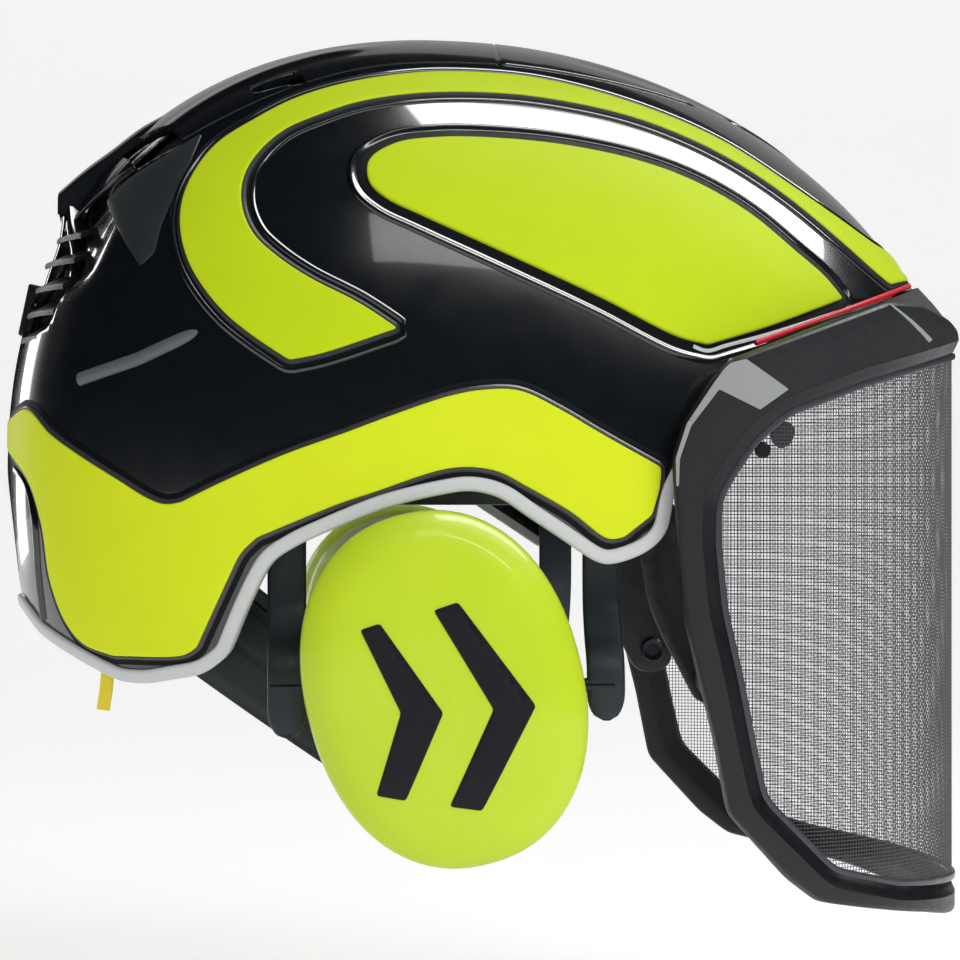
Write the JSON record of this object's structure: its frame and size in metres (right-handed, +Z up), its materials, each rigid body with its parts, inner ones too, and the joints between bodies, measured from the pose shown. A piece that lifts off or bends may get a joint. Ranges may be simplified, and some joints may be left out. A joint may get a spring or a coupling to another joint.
{
  "type": "forestry helmet",
  "caption": "Safety helmet for forestry work with a swing-up mesh face visor, swing-out ear cups and a dial-adjusted head suspension.",
  "frame": {"origin": "centre of the wearer's head on the level of the shell's ear arches, where the head carries the helmet", "axes": "+X towards the wearer's front, +Y towards the wearer's left, +Z up"},
  "size_m": [0.3279, 0.267, 0.3007],
  "materials": {
    "gloss_black": "high gloss",
    "lime_panel": "gloss, signal lime",
    "lime_cup": "satin gloss, signal lime",
    "grey_trim": "soft satin",
    "black_rubber": "matt",
    "satin_black": "satin",
    "red_seal": "satin",
    "mesh": "coated woven wire",
    "steel": "brushed",
    "foam": "open foam",
    "liner": "expanded beads",
    "webbing": "woven",
    "padding": "knitted",
    "yellow_webbing": "woven"
  },
  "bodies": {
    "shell": {"outer_shell": "gloss_black", "edge_trim_right": "grey_trim", "edge_trim_left": "grey_trim", "brow_seal": "red_seal", "upper_stripe_right": "lime_panel", "upper_stripe_left": "lime_panel", "side_panel_right": "lime_panel", "side_panel_left": "lime_panel", "lower_panel_right": "lime_panel", "lower_panel_left": "lime_panel", "crown_cover_front": "gloss_black", "crown_cover_rear": "gloss_black", "rear_grille_right": "satin_black", "rear_grille_left": "satin_black", "impact_liner": "liner", "headband": "satin_black", "forehead_pad": "padding", "crown_straps": "webbing", "crown_pad": "padding", "dial_housing": "satin_black", "pull_tab": "yellow_webbing", "visor_pivot_right": "steel", "visor_pivot_left": "steel", "ear_guide_right": "satin_black", "ear_guide_left": "satin_black"},
    "visor": {"visor_frame": "satin_black", "visor_mesh": "mesh", "visor_arm_right": "satin_black", "visor_arm_left": "satin_black", "visor_screw_right": "steel", "visor_screw_left": "steel"},
    "dial": {"fit_dial": "black_rubber", "dial_pinion": "steel"},
    "nape band right": {"nape_band_right": "satin_black", "nape_pad_right": "padding"},
    "ear slider right": {"ear_slider_right": "satin_black", "ear_hinge_pin_right": "steel"},
    "ear yoke right": {"ear_yoke_right": "satin_black", "cup_pin_rear_right": "steel", "cup_pin_front_right": "steel"},
    "ear cup right": {"ear_cup_right": "lime_cup", "chevron_rear_right": "black_rubber", "chevron_front_right": "black_rubber", "ear_backplate_right": "black_rubber", "ear_cushion_right": "padding", "ear_foam_right": "foam"},
    "nape band left": {"nape_band_left": "satin_black", "nape_pad_left": "padding"},
    "ear slider left": {"ear_slider_left": "satin_black", "ear_hinge_pin_left": "steel"},
    "ear yoke left": {"ear_yoke_left": "satin_black", "cup_pin_rear_left": "steel", "cup_pin_front_left": "steel"},
    "ear cup left": {"ear_cup_left": "lime_cup", "chevron_rear_left": "black_rubber", "chevron_front_left": "black_rubber", "ear_backplate_left": "black_rubber", "ear_cushion_left": "padding", "ear_foam_left": "foam"}
  },
  "joints": [
    {"name": "visor_swing", "type": "hinge", "parent": "shell", "child": "visor", "pos_m": [0.01, 0, 0.005], "axis": [0, -1, 0], "range_deg": [0, 58]},
    {"name": "fit_dial_turn", "type": "hinge", "parent": "shell", "child": "dial", "pos_m": [-0.147, 0, -0.024], "axis": [-0.9848, 0, -0.1736], "range_deg": [0, 150]},
    {"name": "nape_band_right_tighten", "type": "hinge", "parent": "shell", "child": "nape band right", "pos_m": [-0.038, 0, -0.02], "axis": [0, 0, -1], "range_deg": [0, 9.05]},
    {"name": "ear_right_height", "type": "slide", "parent": "shell", "child": "ear slider right", "axis": [0, 0, -1], "range_m": [0, 0.014]},
    {"name": "ear_right_swing_out", "type": "hinge", "parent": "ear slider right", "child": "ear yoke right", "pos_m": [-0.008, -0.092, 0.004], "axis": [-1, 0, 0], "range_deg": [0, 15]},
    {"name": "ear_right_cup_rock", "type": "hinge", "parent": "ear yoke right", "child": "ear cup right", "pos_m": [-0.008, -0.104, -0.065], "axis": [-1, 0, 0], "range_deg": [-5, 5]},
    {"name": "nape_band_left_tighten", "type": "hinge", "parent": "shell", "child": "nape band left", "pos_m": [-0.038, 0, -0.02], "axis": [0, 0, 1], "range_deg": [0, 9.05]},
    {"name": "ear_left_height", "type": "slide", "parent": "shell", "child": "ear slider left", "axis": [0, 0, -1], "range_m": [0, 0.014]},
    {"name": "ear_left_swing_out", "type": "hinge", "parent": "ear slider left", "child": "ear yoke left", "pos_m": [-0.008, 0.092, 0.004], "axis": [1, 0, 0], "range_deg": [0, 15]},
    {"name": "ear_left_cup_rock", "type": "hinge", "parent": "ear yoke left", "child": "ear cup left", "pos_m": [-0.008, 0.104, -0.065], "axis": [1, 0, 0], "range_deg": [-5, 5]}
  ],
  "couplings": [
    {"joint": "nape_band_right_tighten", "follows": "fit_dial_turn", "ratio": 0.06},
    {"joint": "nape_band_left_tighten", "follows": "fit_dial_turn", "ratio": 0.06}
  ]
}
